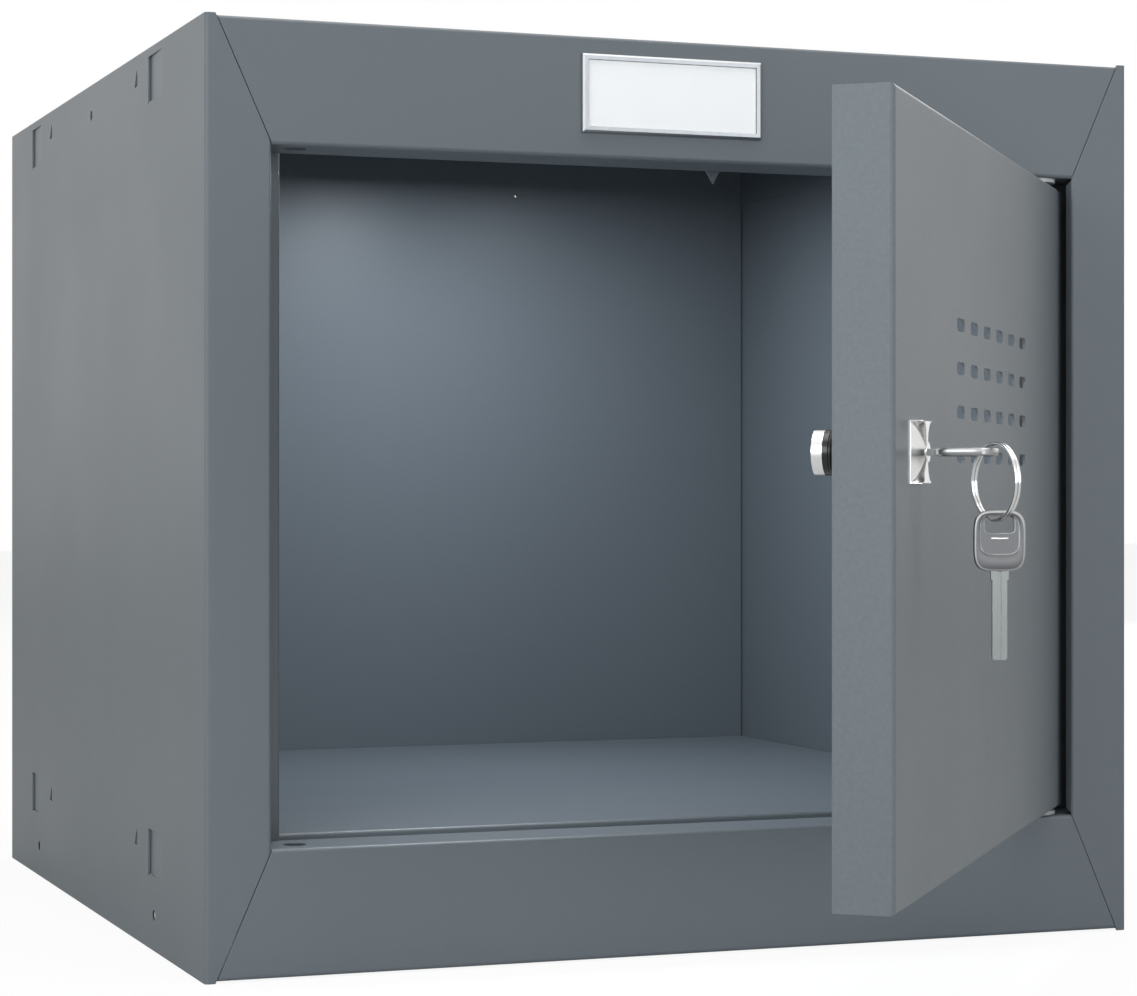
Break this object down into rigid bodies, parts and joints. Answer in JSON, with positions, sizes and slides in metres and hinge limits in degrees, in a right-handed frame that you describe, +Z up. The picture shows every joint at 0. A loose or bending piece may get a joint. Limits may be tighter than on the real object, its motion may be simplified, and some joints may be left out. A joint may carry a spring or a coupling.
{
  "type": "cube locker",
  "caption": "Single-compartment steel cube locker with mitred front frame, vented pivot door, cam lock, key in the lock and spare key on a split ring.",
  "frame": {"origin": "middle of the footprint, on the resting plane under the side panels' foot flanges", "axes": "+Z up, the front faces -Y, +X is the hinge side; the door stands open at its resting angle"},
  "size_m": [0.4, 0.6586, 0.366],
  "materials": {
    "grey_powder_coat": "blue-grey powder coat, satin, with a very fine speckle",
    "white_nylon": "natural white nylon",
    "silver_trim": "satin silver",
    "white_panel": "smooth white, blank",
    "zinc_steel": "bright zinc plate",
    "bright_chrome": "polished chrome plate",
    "black_housing": "black, semi-gloss",
    "nickel_key": "worn nickel plate",
    "ring_steel": "polished spring steel wire"
  },
  "bodies": {
    "cabinet": {"left_side_panel": "grey_powder_coat", "right_side_panel": "grey_powder_coat", "top_rail": "grey_powder_coat", "base_rail": "grey_powder_coat", "top_tray": "grey_powder_coat", "floor_tray": "grey_powder_coat", "back_panel": "grey_powder_coat", "lock_side_stop": "grey_powder_coat", "hinge_side_stop": "grey_powder_coat", "upper_pivot_bush": "white_nylon", "lower_pivot_bush": "white_nylon", "badge_frame": "silver_trim", "badge_panel": "white_panel"},
    "door": {"door_tray": "grey_powder_coat", "upper_pivot_pin": "zinc_steel", "lower_pivot_pin": "zinc_steel", "lock_bezel": "bright_chrome", "lock_barrel": "black_housing", "lock_nut": "zinc_steel"},
    "lock_core": {"lock_plug": "bright_chrome", "lock_cam": "bright_chrome", "cam_screw": "zinc_steel"},
    "inserted_key": {"key": "nickel_key"},
    "ring": {"key_ring": "ring_steel"},
    "spare": {"spare_key": "nickel_key"}
  },
  "joints": [
    {"name": "door_hinge", "type": "hinge", "parent": "cabinet", "child": "door", "pos_m": [0.1613, -0.187, 0.183], "axis": [0, 0, 1], "range_deg": [-50.3, 41.7]},
    {"name": "lock_turn", "type": "hinge", "parent": "door", "child": "lock_core", "pos_m": [-0.02167, -0.42618, 0.198], "axis": [0.7694, -0.6388, 0], "range_deg": [0, 180]},
    {"name": "key_slide", "type": "slide", "parent": "lock_core", "child": "inserted_key", "axis": [0.7694, -0.6388, 0], "range_m": [0, 0.027]},
    {"name": "ring_swing", "type": "hinge", "parent": "inserted_key", "child": "ring", "pos_m": [-0.00344, -0.44586, 0.1985], "axis": [0.075, -0.9972, 0], "range_deg": [-12, 12]},
    {"name": "spare_key_swing", "type": "hinge", "parent": "ring", "child": "spare", "pos_m": [-0.00329, -0.44786, 0.17636], "axis": [0.075, -0.9972, 0], "range_deg": [-12, 12]}
  ]
}
